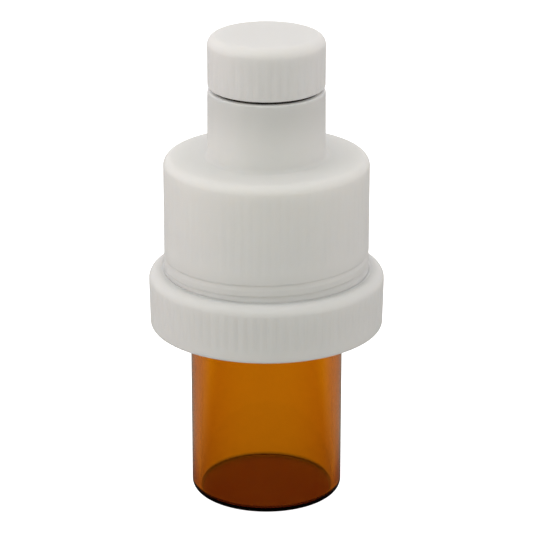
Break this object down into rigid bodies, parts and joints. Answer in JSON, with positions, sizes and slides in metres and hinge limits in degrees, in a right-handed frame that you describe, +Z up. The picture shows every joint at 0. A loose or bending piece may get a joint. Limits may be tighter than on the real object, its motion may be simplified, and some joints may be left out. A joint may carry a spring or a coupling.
{
  "type": "pill crusher",
  "caption": "Twist-grind pill crusher: amber vial, ribbed white collar and barrel with a screw thread, neck with a ribbed screw cap, burrs, sieve and a sprung pusher inside",
  "frame": {"origin": "centre of the vial's foot, on the surface that the object stands on", "axes": "+Z up along the common screw axis; +X and +Y horizontal; the front view looks along +Y"},
  "size_m": [0.0506, 0.0506, 0.1028],
  "materials": {
    "amber": "clear amber, polished",
    "white_plastic": "fine satin moulding",
    "steel": "brushed stainless",
    "brass": "turned",
    "black_rubber": "matt",
    "grey_rubber": "matt silicone",
    "liner": "soft foam"
  },
  "bodies": {
    "vial": {"vial": "amber"},
    "gasket": {"vial_gasket": "grey_rubber"},
    "collar": {"collar": "white_plastic", "grinder_base": "white_plastic", "sieve_screen": "steel", "lower_burr": "steel", "burr_pins": "steel", "feed_cone": "white_plastic", "cone_insert": "brass", "centre_screw": "steel", "screw_washer": "steel"},
    "wiper": {"barrel_seal": "black_rubber"},
    "barrel": {"barrel": "white_plastic", "burr_carrier": "white_plastic", "carrier_snap_ring": "steel", "upper_burr": "steel", "upper_burr_screws": "steel", "hopper_tube": "white_plastic"},
    "seal": {"cap_seal": "black_rubber"},
    "cap": {"cap": "white_plastic", "cap_liner": "liner", "pusher_guide": "white_plastic", "pusher_spring": "steel"},
    "pusher": {"pusher_stem": "steel", "pusher_disc": "white_plastic", "pusher_pad": "grey_rubber"}
  },
  "joints": [
    {"name": "collar_rise", "type": "slide", "parent": "vial", "child": "gasket", "axis": [0, 0, 1], "range_m": [0, 0.00401]},
    {"name": "collar_turn", "type": "hinge", "parent": "gasket", "child": "collar", "pos_m": [0, 0, 0.045], "axis": [0, 0, 1], "range_deg": [0, 480]},
    {"name": "barrel_rise", "type": "slide", "parent": "collar", "child": "wiper", "axis": [0, 0, 1], "range_m": [-0.00366, 0.00366]},
    {"name": "barrel_turn", "type": "hinge", "parent": "wiper", "child": "barrel", "pos_m": [0, 0, 0.05], "axis": [0, 0, 1], "range_deg": [-540, 540]},
    {"name": "cap_rise", "type": "slide", "parent": "barrel", "child": "seal", "axis": [0, 0, 1], "range_m": [0, 0.00501]},
    {"name": "cap_turn", "type": "hinge", "parent": "seal", "child": "cap", "pos_m": [0, 0, 0.095], "axis": [0, 0, 1], "range_deg": [0, 720]},
    {"name": "pusher_slide", "type": "slide", "parent": "cap", "child": "pusher", "axis": [0, 0, 1], "range_m": [0, 0.006], "stiffness_N_per_m": 150, "springref_m": -0.003, "deforming": ["pusher_spring"]}
  ],
  "couplings": [
    {"joint": "collar_rise", "follows": "collar_turn", "m_per_rad": 0.00047746},
    {"joint": "barrel_rise", "follows": "barrel_turn", "m_per_rad": 0.00038675},
    {"joint": "cap_rise", "follows": "cap_turn", "m_per_rad": 0.00039789}
  ]
}
